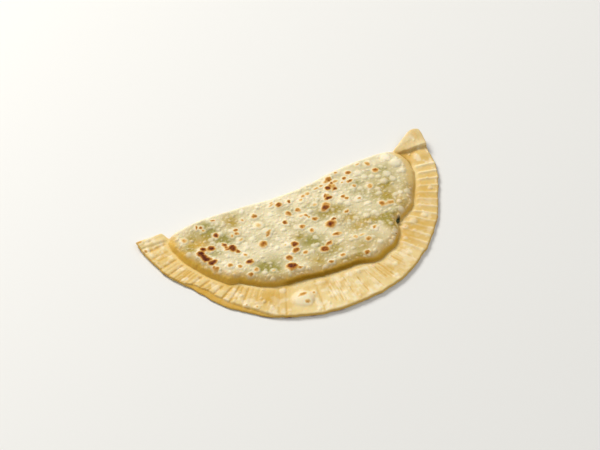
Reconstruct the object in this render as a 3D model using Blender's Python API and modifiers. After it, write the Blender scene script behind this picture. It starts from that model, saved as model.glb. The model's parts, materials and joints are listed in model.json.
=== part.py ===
"""Qutab: a thin round of dough, folded in half over a herb filling and baked on a dry griddle.

The half round lies flat. Its fold runs along X with a rounded nose toward +Y, and the border
toward -Y is pressed flat and ribbed with a fork. The filled pocket stands up as a low dome with
blisters, the left end of the border sticks out as a flap, and the right end is pinched up into
a hollow ear. A small tear at the foot of the dome shows a herb leaf of the filling. The food
is uncut, so the pocket is solid behind that leaf.

Units are metres, +Z is up, and the origin is the middle of the footprint on the resting plane.
The tables and functions below work in millimetres about the centre of the dough round, which
lies on the fold. A bearing is 0 at the left end of the fold, 90 at the front, 180 at the right.
"""

import math

import bmesh
import bpy
import numpy as np

MM = 0.001

# Outline: distances from the centre of the round, one for every BEARING_STEP degrees.
BEARING_STEP = 15.0
RIM_RADII = (105.0, 104.4, 101.8, 104.8, 108.6, 108.2, 107.4, 108.2, 106.0, 103.7, 102.5, 105.8, 108.0)
FOOT_RADII = (84.0, 88.0, 90.0, 87.5, 84.5, 80.8, 81.5, 87.0, 87.5, 82.0, 86.5, 91.0, 83.0)
SCALLOP_DEPTH = 0.35
STEP_BEARING = 130.0
STEP_SPAN = 2.6
STEP_DEPTH = 2.4

# Back edge: the wavy nose of the fold, the flap beyond its left end, the ear beyond its right.
FOLD_MEAN = -3.0
FOLD_WAVE = 2.4
FOLD_WAVE_LENGTH = 108.0
FOLD_CREST_X = 53.0
FLAP_X = -85.7
FLAP_BACK = 2.7
NOTCH_WIDTH = 3.0
EAR_X = 80.5
EAR_SLOPE = 0.46
EAR_CORNER_X = 98.5
EAR_CORNER_BEND = 0.075
WARP_REACH = 15.0

# Heights: two pressed layers of dough in the border, and the pocket over the filling.
BORDER_THICK = 2.4
FOOT_DIP = 0.7
POCKET_HEIGHT = 7.2
DOME_CROWN = 1.0
WALL_WIDTH = 3.2
ROLL_WIDTH = 7.0
ROLL_BEARING = 152.0
RIM_ROUND = 1.1
RIM_LIFTS = (1.6, 1.8, 2.3, 2.6, 2.6, 2.4, 2.2, 1.4, 0.9, 0.8, 0.9, 1.0, 1.0)

# Fork ribs across the border.
RIB_ANGLE = 3.0
RIB_HEIGHT = 0.75
RIB_WANDER = 0.35
RIB_START = 2.0
RIB_RUN = 3.0
RIB_STRENGTHS = (0.5, 0.8, 0.9, 0.8, 0.6, 0.45, 0.5, 0.6, 0.8, 1.0, 1.1, 0.9, 0.2)

# Ear: a pinched, arched fan of border with its apex at the right end of the fold.
EAR_APEX = (81.0, -4.2)
EAR_LENGTH = 25.0
EAR_TURN = 0.09
EAR_SPREAD = 0.26
EAR_NECK = 0.8
EAR_RISE = 5.6
EAR_BACK_DROP = 0.4
EAR_HOLLOW_FROM = 5.0

# Swellings of the skin: x, y, length, width, height.
SWELLINGS = (
    (-77.5, -30.0, 13.0, 17.0, 0.9),
    (-29.5, -69.5, 12.0, 10.0, 1.1),
    (24.0, -65.5, 20.0, 13.0, 0.9),
    (-30.0, -31.5, 9.0, 8.0, 0.6),
    (51.5, -45.0, 13.0, 9.0, 0.7),
    (14.5, -30.0, 9.0, 8.0, 0.8),
    (25.0, -17.0, 9.0, 8.0, 0.6),
    (-57.0, -35.0, 9.0, 9.0, 0.6),
    (-9.5, -60.0, 9.0, 7.0, 0.5),
    (11.0, -45.0, 12.0, 8.0, 0.5),
    (76.0, -16.0, 8.0, 9.0, 0.6),
    (46.0, -71.0, 8.0, 7.0, -0.5),
    (61.0, -38.0, 9.0, 13.0, -0.6),
    (-71.0, -20.0, 9.0, 7.0, -0.6),
    (-36.0, -16.0, 26.0, 9.0, -0.4),
    (-31.5, -90.0, 12.0, 9.0, 0.9),
    (93.0, -10.5, 7.0, 5.0, 1.3),
    (62.0, -64.5, 7.0, 5.0, 0.6),
)
UNDULATION = 0.35
UNDULATION_LENGTHS = (38.0, 27.0, 19.0)
UNDULATION_SEED = 11

# Mesh spacing: rows run from the centre to the rim, columns along them.
CENTRE_ROWS = (0.4, 1.3, 3.0)
INNER_ROWS = 27
WALL_OFFSETS = (5.6, 3.2, 1.8, 0.8, 0.25, 0.0)
BORDER_STEPS = (0.07, 0.17, 0.31, 0.46, 0.61, 0.76, 0.88, 0.96, 0.99, 1.0)
NOSE_STEPS = (0.3, 1.1, 2.6)
TOP_SPACING = 2.9
BOTTOM_SPACING = 7.5
LEAST_COLUMNS = 6
WALL_COLUMNS = 150
BORDER_COLUMNS = 240
BOTTOM_COLUMNS = 56

# Tear at the foot of the dome, and the leaf in it.
TEAR_MOUTH = (51.5, -61.3)
TEAR_HEIGHT = 3.5
TEAR_INSET = 5.4
TEAR_BEARING = 130.0
TEAR_HALF = (9.6, 4.2, 1.4)
LEAF_HALF = (6.7, 2.9)
LEAF_THICK = 0.6
LEAF_WAVE = 0.22
LEAF_RINGS = 4
LEAF_COLUMNS = 20


def smooth(value, start, end):
    """Ease from 0 at start to 1 at end."""
    share = np.clip((value - start) / (end - start), 0.0, 1.0)
    return share * share * (3.0 - 2.0 * share)


def along_border(table, bearing):
    """Read a table of values at even bearings, eased between its entries."""
    place = np.clip(bearing / BEARING_STEP, 0.0, len(table) - 1.0)
    index = np.minimum(place.astype(int), len(table) - 2)
    values = np.asarray(table)
    share = smooth(place - index, 0.0, 1.0) * 0.5 + (place - index) * 0.5
    return values[index] + (values[index + 1] - values[index]) * share


def foot_radius(bearing):
    """Radius of the dome's foot, stepped in where the skin has torn."""
    step = STEP_DEPTH * np.exp(-(((bearing - STEP_BEARING) / STEP_SPAN) ** 2))
    return along_border(FOOT_RADII, bearing) - step


def back_line(x):
    """Y of the back edge: fold nose in the middle, flap at the left, ear at the right."""
    fold = FOLD_MEAN + FOLD_WAVE * np.cos(2.0 * np.pi * (x - FOLD_CREST_X) / FOLD_WAVE_LENGTH)
    flap = smooth(-x, -FLAP_X - NOTCH_WIDTH / 2.0, -FLAP_X + NOTCH_WIDTH / 2.0)
    ear = np.maximum(x - EAR_X, 0.0) * EAR_SLOPE - np.maximum(x - EAR_CORNER_X, 0.0) ** 2 * EAR_CORNER_BEND
    at_ear = FOLD_MEAN + FOLD_WAVE * math.cos(2.0 * math.pi * (EAR_X - FOLD_CREST_X) / FOLD_WAVE_LENGTH)
    edge = np.where(x > EAR_X, at_ear + ear, fold)
    return edge + (FLAP_BACK - edge) * flap


def spread_out(radius, bearing):
    """Place a point of the half round, pulled to the back line where it lies near it."""
    angle = np.radians(bearing)
    x = -radius * np.cos(angle)
    straight = -radius * np.sin(angle)
    y = straight + back_line(x) * np.exp(-((straight / WARP_REACH) ** 2))
    return x, y


def round_edge(distance, width):
    """Quarter ellipse: 0 at the edge, 1 from width inward."""
    share = 1.0 - np.clip(distance / width, 0.0, 1.0)
    return np.sqrt(1.0 - share * share)


def rib_relief(bearing, across):
    """Fork ribs: narrow crests between wide channels, fading out toward the dome's foot."""
    wander = np.sin(np.radians(bearing * 7.0)) + np.sin(np.radians(bearing * 17.0 + 40.0))
    phase = bearing / RIB_ANGLE + RIB_WANDER * wander
    crest = np.cos(np.pi * phase) ** 4 - 0.375
    fade = smooth(across, RIB_START, RIB_START + RIB_RUN)
    return RIB_HEIGHT * along_border(RIB_STRENGTHS, bearing) * crest * fade


def swellings(x, y):
    """Sum of the named swells and hollows of the skin."""
    total = np.zeros_like(x)
    for centre_x, centre_y, length, width, height in SWELLINGS:
        far = ((x - centre_x) / (length / 2.0)) ** 2 + ((y - centre_y) / (width / 2.0)) ** 2
        total += height * np.exp(-far)
    return total


def undulation(x, y):
    """Slow waves of the filled pocket, from a few seeded directions."""
    draw = np.random.default_rng(UNDULATION_SEED)
    total = np.zeros_like(x)
    for length in UNDULATION_LENGTHS:
        for turn, shift in draw.uniform(0.0, 2.0 * np.pi, (2, 2)):
            run = x * math.cos(turn) + y * math.sin(turn)
            total += np.sin(2.0 * np.pi * run / length + shift)
    return UNDULATION * total / len(UNDULATION_LENGTHS)


def ear_arch(x, y):
    """Height of the pinched ear: steep on its front side, falling gently to the back edge."""
    along = np.clip(x - EAR_APEX[0], 0.0, EAR_LENGTH)
    across = y - EAR_APEX[1] - EAR_TURN * along
    half = EAR_NECK + EAR_SPREAD * along
    place = across / half
    front = round_edge(place + 1.0, 0.95)
    back = 1.0 - EAR_BACK_DROP * smooth(place, -0.05, 1.2)
    rise = EAR_RISE * smooth(along, -9.0, EAR_LENGTH)
    return rise * front * back


def heights(radius, bearing):
    """Place points and give the heights of the upper and lower skin there."""
    x, y = spread_out(radius, bearing)
    foot = foot_radius(bearing)
    rim = along_border(RIM_RADII, bearing)
    inside = foot - radius
    wall = WALL_WIDTH + (ROLL_WIDTH - WALL_WIDTH) * smooth(bearing, ROLL_BEARING - 10.0, ROLL_BEARING + 10.0)
    raised = round_edge(inside, wall)
    crown = DOME_CROWN * smooth(inside, 0.0, 35.0)
    full = POCKET_HEIGHT - crown + undulation(x, y) * smooth(inside, 0.0, 12.0) + swellings(x, y)
    border = np.clip(radius - foot, 0.0, None) / (rim - foot)
    lift = along_border(RIM_LIFTS, bearing) * border ** 1.6
    arch = ear_arch(x, y) * smooth(radius, foot - 2.0, foot + 3.0)
    hollow = smooth(x - EAR_APEX[0], EAR_HOLLOW_FROM, EAR_HOLLOW_FROM + 8.0)
    pressed = BORDER_THICK - FOOT_DIP * np.exp(-(((radius - foot) / 3.0) ** 2))
    pressed = pressed + rib_relief(bearing, radius - foot) * (1.0 - smooth(arch, 0.0, 2.0))
    pressed = pressed + swellings(x, y) * (1.0 - raised)
    upper = lift + arch + pressed + (full - pressed) * raised
    lower = lift + arch * hollow
    middle = (upper + lower) / 2.0
    half = (upper - lower) / 2.0
    to_back = np.clip(back_line(x) - y, 0.0, None)
    shut = round_edge(to_back, half) * round_edge(rim - radius, RIM_ROUND)
    return x, y, middle + half * shut, middle - half * shut


def row_radius(row, bearing):
    """Radius of a row: close rows at the centre, even ones, the wall's, then the border's."""
    foot = foot_radius(bearing)
    if row <= len(CENTRE_ROWS):
        return np.full_like(foot, CENTRE_ROWS[row - 1])
    if row <= INNER_ROWS:
        share = (row - len(CENTRE_ROWS)) / (INNER_ROWS - len(CENTRE_ROWS))
        return CENTRE_ROWS[-1] + (foot - WALL_OFFSETS[0] - CENTRE_ROWS[-1]) * share
    row -= INNER_ROWS
    if row < len(WALL_OFFSETS):
        return foot - WALL_OFFSETS[row]
    step = BORDER_STEPS[row - len(WALL_OFFSETS)]
    rim = along_border(RIM_RADII, bearing)
    scallop = SCALLOP_DEPTH * np.cos(np.pi * bearing / RIB_ANGLE) ** 2 * smooth(step, 0.8, 1.0)
    return foot + (rim - foot) * step - scallop


def row_bearings(row, spacing, wall_columns, border_columns):
    """Bearings along a row: close together at the two ends of the fold, even between them."""
    last_wall = INNER_ROWS + len(WALL_OFFSETS) - 1
    typical = float(row_radius(row, np.array([90.0]))[0])
    count = max(LEAST_COLUMNS, round(math.pi * typical / spacing))
    if row > INNER_ROWS:
        count = wall_columns
    if row > last_wall:
        count = border_columns
    even = np.linspace(0.0, 180.0, count + 1)
    nose = np.degrees(np.array([step for step in NOSE_STEPS if step < typical * 0.6]) / typical)
    clear = nose[-1] * 1.35 if len(nose) else 0.0
    middle = even[(even > clear) & (even < 180.0 - clear)]
    return np.concatenate(([0.0], nose, middle, 180.0 - nose[::-1], [180.0]))


def add_row(bm, bearings, row, upper, ends=None):
    """Add one row of vertices to a skin; the lower skin shares its end vertices with the upper."""
    x, y, top, bottom = heights(row_radius(row, bearings), bearings)
    z = top if upper else bottom
    vertices = []
    for index in range(len(bearings)):
        at_end = index in (0, len(bearings) - 1)
        if ends and at_end:
            vertices.append(ends[0] if index == 0 else ends[1])
        else:
            vertices.append(bm.verts.new((x[index] * MM, y[index] * MM, z[index] * MM)))
    return vertices


def loft(bm, inner, inner_bearings, outer, outer_bearings, upper):
    """Loft a strip of triangles between two rows whose vertices differ in number.

    The lower skin's strips start with a step on the inner row, because both skins share the
    corner of the last two rows.
    """
    i = 0
    j = 0
    while i < len(inner) - 1 or j < len(outer) - 1:
        inner_next = inner_bearings[i + 1] if i < len(inner) - 1 else math.inf
        outer_next = outer_bearings[j + 1] if j < len(outer) - 1 else math.inf
        at_shared_corner = not upper and i == 0 and j == 0 and len(inner) > 1
        if outer_next <= inner_next and not at_shared_corner:
            corners = (inner[i], outer[j], outer[j + 1])
            j += 1
        else:
            corners = (inner[i], outer[j], inner[i + 1])
            i += 1
        bm.faces.new(corners if upper else corners[::-1])


def build_skin(bm, upper, spacing, wall_columns, border_columns, shared):
    """Build one skin outward from the centre; shared keeps the vertices common to both skins."""
    last = INNER_ROWS + len(WALL_OFFSETS) - 1 + len(BORDER_STEPS)
    inner = [shared["centre"]]
    inner_bearings = np.array([90.0])
    for row in range(1, last + 1):
        if row == last and not upper:
            outer, outer_bearings = shared["rim"]
        else:
            outer_bearings = row_bearings(row, spacing, wall_columns, border_columns)
            outer = add_row(bm, outer_bearings, row, upper, shared["ends"].get(row))
        loft(bm, inner, inner_bearings, outer, outer_bearings, upper)
        shared["ends"][row] = (outer[0], outer[-1])
        inner = outer
        inner_bearings = outer_bearings
    shared["rim"] = (inner, inner_bearings)


def build_dough(collection):
    """Close the dough from an upper and a lower skin that meet at the fold and at the rim."""
    bm = bmesh.new()
    x, y, top, bottom = heights(np.array([0.0]), np.array([90.0]))
    centre = bm.verts.new((x[0] * MM, y[0] * MM, (top[0] + bottom[0]) / 2.0 * MM))
    shared = {"centre": centre, "ends": {}}
    build_skin(bm, True, TOP_SPACING, WALL_COLUMNS, BORDER_COLUMNS, shared)
    build_skin(bm, False, BOTTOM_SPACING, BOTTOM_COLUMNS, BOTTOM_COLUMNS, shared)
    return finish_object(bm, "dough", collection)


def finish_object(bm, name, collection):
    """Turn a bmesh into a smooth-shaded object in a collection."""
    mesh = bpy.data.meshes.new(name)
    bm.to_mesh(mesh)
    bm.free()
    mesh.shade_smooth()
    built = bpy.data.objects.new(name, mesh)
    collection.objects.link(built)
    return built


def inward_frame():
    """Centre and turn of the pocket behind the tear, which points to the middle of the food."""
    angle = math.radians(TEAR_BEARING)
    inward = (math.cos(angle), math.sin(angle))
    x = TEAR_MOUTH[0] + inward[0] * TEAR_INSET
    y = TEAR_MOUTH[1] + inward[1] * TEAR_INSET
    return (x * MM, y * MM, TEAR_HEIGHT * MM), math.atan2(inward[1], inward[0])


def build_tear(collection):
    """Cutter for the tear: a flat ellipsoid whose outer end breaks through the dome's wall."""
    location, turn = inward_frame()
    bpy.ops.mesh.primitive_uv_sphere_add(segments=24, ring_count=10, radius=1.0, location=location)
    cutter = bpy.context.active_object
    cutter.name = "tear_cutter"
    cutter.scale = tuple(half * MM for half in TEAR_HALF)
    cutter.rotation_euler = (0.0, 0.0, turn)
    cutter.hide_render = True
    cutter.display_type = "WIRE"
    for owner in list(cutter.users_collection):
        owner.objects.unlink(cutter)
    collection.objects.link(cutter)
    return cutter


def build_leaf(collection):
    """Herb leaf of the filling: a thin wavy disc, its two faces split alike."""
    location, turn = inward_frame()
    bm = bmesh.new()
    bmesh.ops.create_circle(bm, cap_ends=True, cap_tris=True, segments=LEAF_COLUMNS, radius=1.0)
    bmesh.ops.subdivide_edges(bm, edges=bm.edges[:], cuts=LEAF_RINGS - 2, use_grid_fill=True)
    bmesh.ops.triangulate(bm, faces=bm.faces[:])
    for vertex in bm.verts:
        pointed = 1.0 - 0.25 * vertex.co.x ** 2
        wave = LEAF_WAVE * math.sin(vertex.co.x * 4.5) * math.cos(vertex.co.y * 2.2)
        vertex.co = (vertex.co.x * LEAF_HALF[0] * MM, vertex.co.y * LEAF_HALF[1] * pointed * MM, wave * MM)
    leaf = finish_object(bm, "greens", collection)
    leaf.location = location
    leaf.rotation_euler = (0.0, 0.0, turn)
    body = leaf.modifiers.new("body", "SOLIDIFY")
    body.thickness = LEAF_THICK * MM
    body.offset = 0.0
    return leaf


def give_material(target, name, colour, roughness):
    """Give an object its own dielectric material."""
    material = bpy.data.materials.new(name)
    material.use_nodes = True
    shader = material.node_tree.nodes["Principled BSDF"]
    shader.inputs["Base Color"].default_value = (*colour, 1.0)
    shader.inputs["Roughness"].default_value = roughness
    shader.inputs["Metallic"].default_value = 0.0
    target.data.materials.append(material)


def centre_on_origin(objects, body):
    """Move everything so that the middle of the body's footprint is the origin."""
    corners = np.array([vertex.co for vertex in body.data.vertices])
    middle = (corners.min(axis=0) + corners.max(axis=0)) / 2.0
    for item in objects:
        item.location.x -= middle[0]
        item.location.y -= middle[1]


def main():
    for item in list(bpy.data.objects):
        bpy.data.objects.remove(item)
    parts = bpy.data.collections.new("qutab")
    cutters = bpy.data.collections.new("cutters")
    bpy.context.scene.collection.children.link(parts)
    bpy.context.scene.collection.children.link(cutters)
    dough = build_dough(parts)
    tear = build_tear(cutters)
    leaf = build_leaf(parts)
    centre_on_origin((dough, tear, leaf), dough)
    cut = dough.modifiers.new("tear", "BOOLEAN")
    cut.operation = "DIFFERENCE"
    cut.object = tear
    cut.solver = "EXACT"
    give_material(dough, "baked_dough", (0.80, 0.62, 0.33), 0.5)
    give_material(leaf, "herb_leaf", (0.05, 0.08, 0.02), 0.55)


main()
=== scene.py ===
# %% [markdown]
# # Qutab: a folded, griddle-baked herb flatbread
# A qutab is one thin round of wheat dough. Chopped herbs go on one half, the other half is folded
# over, the curved edge is pressed shut with a fork, and the half-moon is baked on a dry griddle.
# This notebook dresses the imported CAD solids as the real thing: a skin with hundreds of small
# blisters, brown scorch marks on the highest ones, fork marks around the border, an ear where the
# dough was pinched, and a small tear with a herb leaf in it.

import json
import math

import bmesh
import bpy
import numpy as np
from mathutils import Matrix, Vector

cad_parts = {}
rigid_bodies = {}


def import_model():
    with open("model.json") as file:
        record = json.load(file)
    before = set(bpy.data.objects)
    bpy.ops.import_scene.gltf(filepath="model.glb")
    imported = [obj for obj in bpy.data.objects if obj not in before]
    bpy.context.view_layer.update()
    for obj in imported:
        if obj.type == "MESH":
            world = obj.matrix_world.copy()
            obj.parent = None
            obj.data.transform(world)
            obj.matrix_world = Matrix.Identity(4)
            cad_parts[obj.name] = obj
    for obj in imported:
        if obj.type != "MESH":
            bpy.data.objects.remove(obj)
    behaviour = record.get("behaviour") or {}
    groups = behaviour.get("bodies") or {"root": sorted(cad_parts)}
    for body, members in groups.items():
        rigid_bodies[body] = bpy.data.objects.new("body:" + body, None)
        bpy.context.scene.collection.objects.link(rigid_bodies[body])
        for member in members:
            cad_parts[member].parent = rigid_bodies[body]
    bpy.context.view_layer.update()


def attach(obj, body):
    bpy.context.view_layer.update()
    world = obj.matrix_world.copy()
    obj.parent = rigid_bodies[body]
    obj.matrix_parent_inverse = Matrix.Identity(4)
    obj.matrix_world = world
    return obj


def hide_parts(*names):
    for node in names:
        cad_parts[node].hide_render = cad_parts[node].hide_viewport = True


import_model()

# %% [markdown]
# ## Colours and nodes
# Every colour is written as the sRGB hex value that a painter would mix, and one function turns it
# to the linear values that the shader wants. One more small function adds a node, sets it and links
# it, so a material reads as a short list of steps.

# %% Colour and node helpers
MM = 0.001


def linear(hex_colour):
    """sRGB hex to a linear RGBA tuple."""
    values = [int(hex_colour[i : i + 2], 16) / 255.0 for i in (1, 3, 5)]
    return (*[v / 12.92 if v <= 0.04045 else ((v + 0.055) / 1.055) ** 2.4 for v in values], 1.0)


def add_node(tree, kind, settings=None, links=None):
    """Add a node; settings go to its properties or its sockets, links to its inputs."""
    node = tree.nodes.new(kind)
    for key, value in (settings or {}).items():
        if isinstance(key, str) and hasattr(node, key):
            setattr(node, key, value)
        else:
            node.inputs[key].default_value = value
    for key, source in (links or {}).items():
        tree.links.new(source, node.inputs[key])
    return node


# %% [markdown]
# ## Noise and scattering
# Two tools make the irregular things. A value noise gives soft random hills of a chosen size in
# millimetres. A dart thrower drops points over the half round and keeps only those that are not too
# close to a point kept before, which is how blisters spread over real dough. Both are seeded.

# %% Noise and scattering
NOISE_GRID = 256
ARC_PER_DEGREE = 1.6  # millimetres of border for one degree of bearing


def smooth(value, start, end):
    """Ease from 0 at start to 1 at end."""
    share = np.clip((value - start) / (end - start), 0.0, 1.0)
    return share * share * (3.0 - 2.0 * share)


def round_edge(distance, width):
    """Quarter ellipse: 0 at the edge, 1 from width inward."""
    share = 1.0 - np.clip(distance / width, 0.0, 1.0)
    return np.sqrt(1.0 - share * share)


def hills(x, y, size, seed):
    """Value noise from -1 to 1 with hills about size millimetres apart."""
    grid = np.random.default_rng(seed).uniform(-1.0, 1.0, (NOISE_GRID, NOISE_GRID))
    u = x / size + 1000.0
    v = y / size + 1000.0
    i = np.floor(u).astype(int)
    j = np.floor(v).astype(int)
    fu = smooth(u - i, 0.0, 1.0)
    fv = smooth(v - j, 0.0, 1.0)
    i %= NOISE_GRID - 1
    j %= NOISE_GRID - 1
    low = grid[i, j] * (1.0 - fu) + grid[i + 1, j] * fu
    high = grid[i, j + 1] * (1.0 - fu) + grid[i + 1, j + 1] * fu
    return low * (1.0 - fv) + high * fv


def rough_hills(x, y, size, seed, octaves=3):
    """Hills with smaller hills on them."""
    total = np.zeros_like(x)
    for octave in range(octaves):
        total += hills(x, y, size / 2**octave, seed + octave) / 2**octave
    return total / (2.0 - 0.5 ** (octaves - 1))


def wander(bearing, size, seed):
    """Noise along the border: bearings are turned to millimetres of arc first."""
    return hills(bearing * ARC_PER_DEGREE, np.zeros_like(bearing), size, seed)


def scatter(count, spacing, seed):
    """Throw darts at the half disc and keep the ones that stand clear of each other."""
    draw = np.random.default_rng(seed)
    kept = np.empty((0, 2))
    for x, y in draw.uniform((-108.0, -110.0), (108.0, 0.0), (count, 2)):
        if len(kept) and np.min(np.hypot(kept[:, 0] - x, kept[:, 1] - y)) < spacing:
            continue
        kept = np.vstack((kept, (x, y)))
    return kept


print("noise grid", NOISE_GRID, "points a side")

# %% [markdown]
# ## Camera
# Food on a table is usually taken with a longish lens, half from above. 100 mm on a 36 mm sensor
# keeps the half-moon free of stretching. The aim is a little in front of the fold, so that there is
# calm floor all round.

# %% Camera
CAMERA_LENS = 100.0
CAMERA_SENSOR = 36.0
CAMERA_AZIMUTH = -28.5
CAMERA_ELEVATION = 46.0
CAMERA_DISTANCE = 1.0791
CAMERA_AIM = (-3.9, -31.3)  # in millimetres about the centre of the dough round


def direction(azimuth, elevation):
    """Unit vector from the table to a camera or lamp; azimuth 0 is the front."""
    a = math.radians(azimuth)
    e = math.radians(elevation)
    return Vector((math.sin(a) * math.cos(e), -math.cos(a) * math.cos(e), math.sin(e)))


def point_at(thing, place, target):
    """Put a camera or lamp at a place and turn it to a target."""
    thing.location = place
    thing.rotation_mode = "QUATERNION"
    thing.rotation_quaternion = (target - place).to_track_quat("-Z", "Y")
    bpy.context.scene.collection.objects.link(thing)


def make_camera(shift_x, shift_y):
    """Camera looking at the aim point, placed by azimuth, elevation and distance."""
    data = bpy.data.cameras.new("table_camera")
    data.lens = CAMERA_LENS
    data.sensor_width = CAMERA_SENSOR
    data.clip_start = 0.05
    data.clip_end = 20.0
    camera = bpy.data.objects.new("table_camera", data)
    aim = Vector(((CAMERA_AIM[0] + shift_x) * MM, (CAMERA_AIM[1] + shift_y) * MM, 0.0))
    point_at(camera, aim + direction(CAMERA_AZIMUTH, CAMERA_ELEVATION) * CAMERA_DISTANCE, aim)
    bpy.context.scene.camera = camera
    return camera


# %% [markdown]
# ## The outline of the half round
# The outline is described the way a baker would: distances from the centre of the round, all the
# way from the left end of the fold (bearing 0) over the front (90) to the right end (180). One list
# gives the rim, another the foot of the filled dome. The fold itself is a wavy line with a short
# flap beyond its left end and the pinched ear beyond its right end.

# %% Outline values and functions
BEARING_STEP = 15.0
RIM_RADII = (105.0, 104.2, 102.4, 106.6, 109.2, 109.6, 108.6, 108.8, 106.0, 103.7, 102.5, 105.4, 106.6)
FOOT_MARKS = (
    # bearing, radius of the dome's foot
    (0.0, 84.0), (5.0, 86.6), (10.0, 88.6), (20.0, 89.6), (40.0, 89.0), (43.5, 85.6), (58.0, 85.2),
    (62.0, 83.8), (65.0, 82.3), (70.0, 80.6), (76.0, 79.4), (95.0, 80.4), (99.5, 82.6), (104.0, 86.2),
    (108.0, 87.6), (116.0, 87.8), (121.5, 86.4), (130.0, 82.6), (135.0, 82.8), (143.0, 86.6), (150.0, 86.2),
    (163.0, 89.6), (170.0, 88.8), (180.0, 83.0),
)
TORN_BEARING = 130.0
TORN_SPAN = 2.6
TORN_DEPTH = 2.4
FOLD_MEAN = -3.0
FOLD_WAVE = 2.4
FOLD_WAVE_LENGTH = 108.0
FOLD_CREST_X = 53.0
FLAP_X = -85.7
FLAP_BACK = 2.7
NOTCH_WIDTH = 3.0
EAR_X = 80.5
EAR_SLOPE = 0.46
EAR_CORNER_X = 98.5
EAR_CORNER_BEND = 0.075
WARP_REACH = 15.0


def along_border(table, bearing):
    """Read a list of values at even bearings, eased between its entries."""
    place = np.clip(bearing / BEARING_STEP, 0.0, len(table) - 1.0)
    index = np.minimum(place.astype(int), len(table) - 2)
    values = np.asarray(table)
    share = smooth(place - index, 0.0, 1.0) * 0.5 + (place - index) * 0.5
    return values[index] + (values[index + 1] - values[index]) * share


def at_marks(marks, bearing):
    """Read a list of (bearing, value) marks, straight between them."""
    return np.interp(bearing, *zip(*marks))


def foot_radius(bearing):
    """Radius of the dome's foot: lumpy, and stepped in where the skin has torn."""
    step = TORN_DEPTH * np.exp(-(((bearing - TORN_BEARING) / TORN_SPAN) ** 2))
    lumps = 0.4 * wander(bearing, 6.5, 21) + 0.25 * wander(bearing, 2.8, 22)
    return at_marks(FOOT_MARKS, bearing) - step + lumps


def rim_radius(bearing):
    """Radius of the rim, slightly ragged as pressed dough is."""
    return along_border(RIM_RADII, bearing) + 0.3 * wander(bearing, 5.0, 23) + 0.18 * wander(bearing, 1.8, 24)


def fold_wave(x):
    """Y of the fold: one slow wave with small ripples on it."""
    ripple = 0.3 * hills(x, np.zeros_like(x), 7.0, 25)
    return FOLD_MEAN + FOLD_WAVE * np.cos(2.0 * np.pi * (x - FOLD_CREST_X) / FOLD_WAVE_LENGTH) + ripple


def back_line(x):
    """Y of the back edge: fold in the middle, flap at the left, ear at the right."""
    flap = smooth(-x, -FLAP_X - NOTCH_WIDTH / 2.0, -FLAP_X + NOTCH_WIDTH / 2.0)
    ear = np.maximum(x - EAR_X, 0.0) * EAR_SLOPE
    ear = ear - np.maximum(x - EAR_CORNER_X, 0.0) ** 2 * EAR_CORNER_BEND
    edge = np.where(x > EAR_X, fold_wave(EAR_X) + ear, fold_wave(x))
    return edge + (FLAP_BACK - edge) * flap


def spread_out(radius, bearing):
    """Place a point of the half round, pulled to the back line where it lies near it."""
    angle = np.radians(bearing)
    x = -radius * np.cos(angle)
    straight = -radius * np.sin(angle)
    return x, straight + back_line(x) * np.exp(-((straight / WARP_REACH) ** 2))


# %% [markdown]
# ## Rows and columns
# The skin is laid out like the rings of a tree cut in half: rows at growing distance from the
# centre, and columns along each row. Every row has as many columns as its length needs, so the
# triangles stay about half a millimetre wide from the centre to the rim. Two rows whose counts
# differ are lofted with triangles. The lower skin has the same rows and fewer columns, and shares
# its ends and its rim with the upper one, so the body is closed.

# %% Row layout
DOME_CELL = 0.46
BORDER_CELL = 0.46
EAR_CELL = 0.3
BOTTOM_CELL = 3.6
RIM_CELL = 1.0
CENTRE_ROWS = (0.15, 0.5, 1.0)
WALL_DEPTH = 8.0
WALL_ROWS = 24
WALL_CLOSENESS = 1.5
BORDER_ROWS = 33
BORDER_CLOSENESS = 1.15
RIM_SHARES = (0.985, 0.993, 0.998, 1.0)
RIM_ROWS = 7
EAR_FROM = 171.0
NOSE_STEPS = (0.07, 0.27, 0.6, 1.05, 1.6, 2.15)
TYPICAL_FOOT = 85.0
INNER_ROWS = len(CENTRE_ROWS) + round((TYPICAL_FOOT - WALL_DEPTH) / DOME_CELL)
BORDER_SHARES = (*(1.0 - (1.0 - np.arange(1, BORDER_ROWS - 1) / BORDER_ROWS) ** BORDER_CLOSENESS), *RIM_SHARES)
LAST_ROW = INNER_ROWS + WALL_ROWS + len(BORDER_SHARES)
print("rows", LAST_ROW)


def row_radius(row, bearing):
    """Radius of a row: close rows at the centre, even ones, the wall's, then the border's."""
    foot = foot_radius(bearing)
    if row <= len(CENTRE_ROWS):
        return np.full_like(foot, CENTRE_ROWS[row - 1])
    start = CENTRE_ROWS[-1]
    if row <= INNER_ROWS:
        share = (row - len(CENTRE_ROWS)) / (INNER_ROWS - len(CENTRE_ROWS))
        return start + (foot - WALL_DEPTH - start) * share
    row -= INNER_ROWS
    if row <= WALL_ROWS:
        return foot - WALL_DEPTH * (1.0 - row / WALL_ROWS) ** WALL_CLOSENESS
    share = BORDER_SHARES[row - WALL_ROWS - 1]
    return foot + (rim_radius(bearing) - foot) * share


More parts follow.
